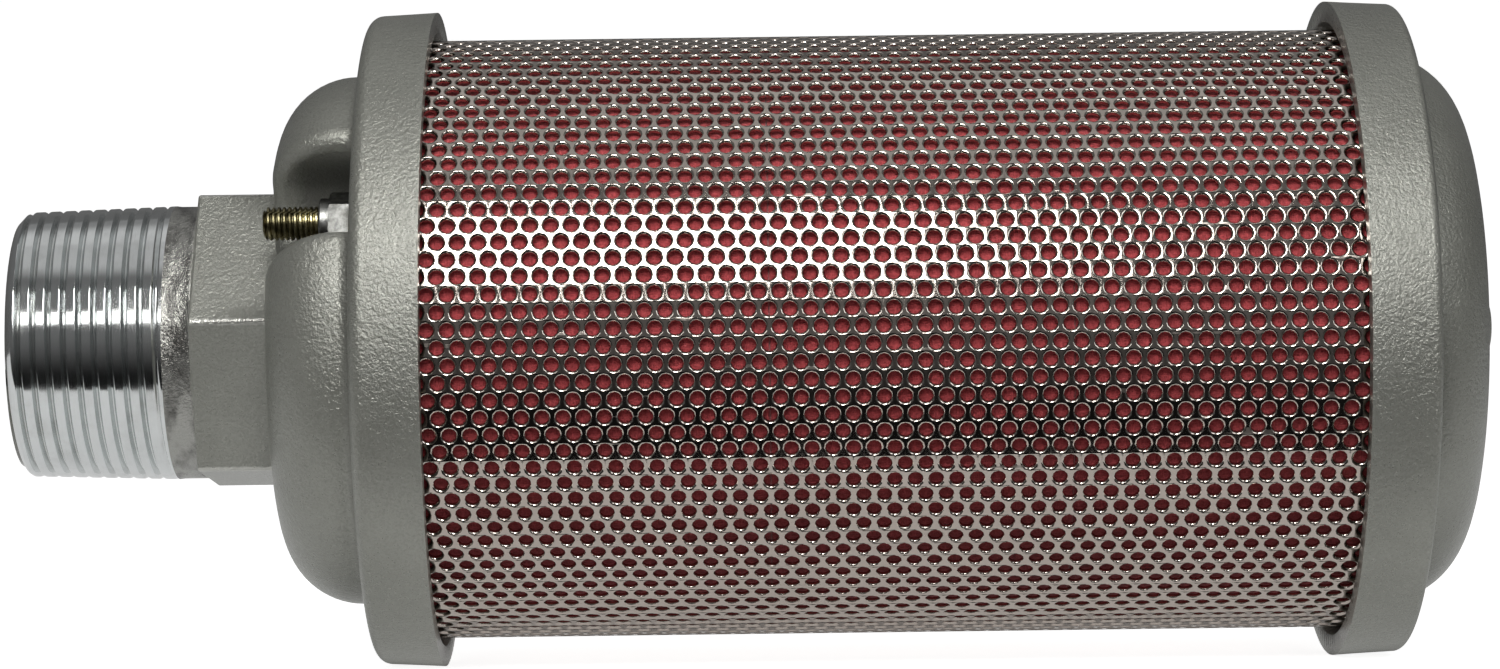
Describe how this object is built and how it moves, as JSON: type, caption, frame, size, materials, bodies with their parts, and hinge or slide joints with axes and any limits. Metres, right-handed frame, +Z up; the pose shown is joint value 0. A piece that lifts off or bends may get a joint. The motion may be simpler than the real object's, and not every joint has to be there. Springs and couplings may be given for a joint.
{
  "type": "pneumatic exhaust muffler",
  "caption": "Screw-in exhaust muffler with a threaded cast head, a closed cast head and a perforated screen round red felt, which quietens air leaving a valve or cylinder.",
  "frame": {"origin": "on the axis, at the end face of the inlet thread", "axes": "+X along the axis from the inlet thread to the closed head; +Z up, with the tie rods 36 degrees off the horizontal plane"},
  "size_m": [0.2268, 0.101, 0.101],
  "materials": {
    "casting_paint": "grey hammered enamel over a die casting, fine orange peel",
    "screen_steel": "bright rolled and perforated stainless sheet",
    "core_steel": "plain perforated steel sheet, zinc finish",
    "felt": "pressed red absorber felt",
    "rod_zinc": "dark oily zinc over steel thread",
    "nut_zinc": "bright zinc",
    "nylon": "natural nylon"
  },
  "bodies": {
    "root": {"inlet_head": "casting_paint", "outlet_head": "casting_paint", "outer_screen": "screen_steel", "core_tube": "core_steel", "outer_felt_inlet": "felt", "outer_felt_middle": "felt", "outer_felt_outlet": "felt", "inner_felt_inlet": "felt", "inner_felt_outlet": "felt", "tie_rod_front": "rod_zinc", "lock_nut_front": "nut_zinc", "nylon_ring_front": "nylon", "washer_front": "nut_zinc", "tie_rod_rear": "rod_zinc", "lock_nut_rear": "nut_zinc", "nylon_ring_rear": "nylon", "washer_rear": "nut_zinc"}
  },
  "joints": []
}
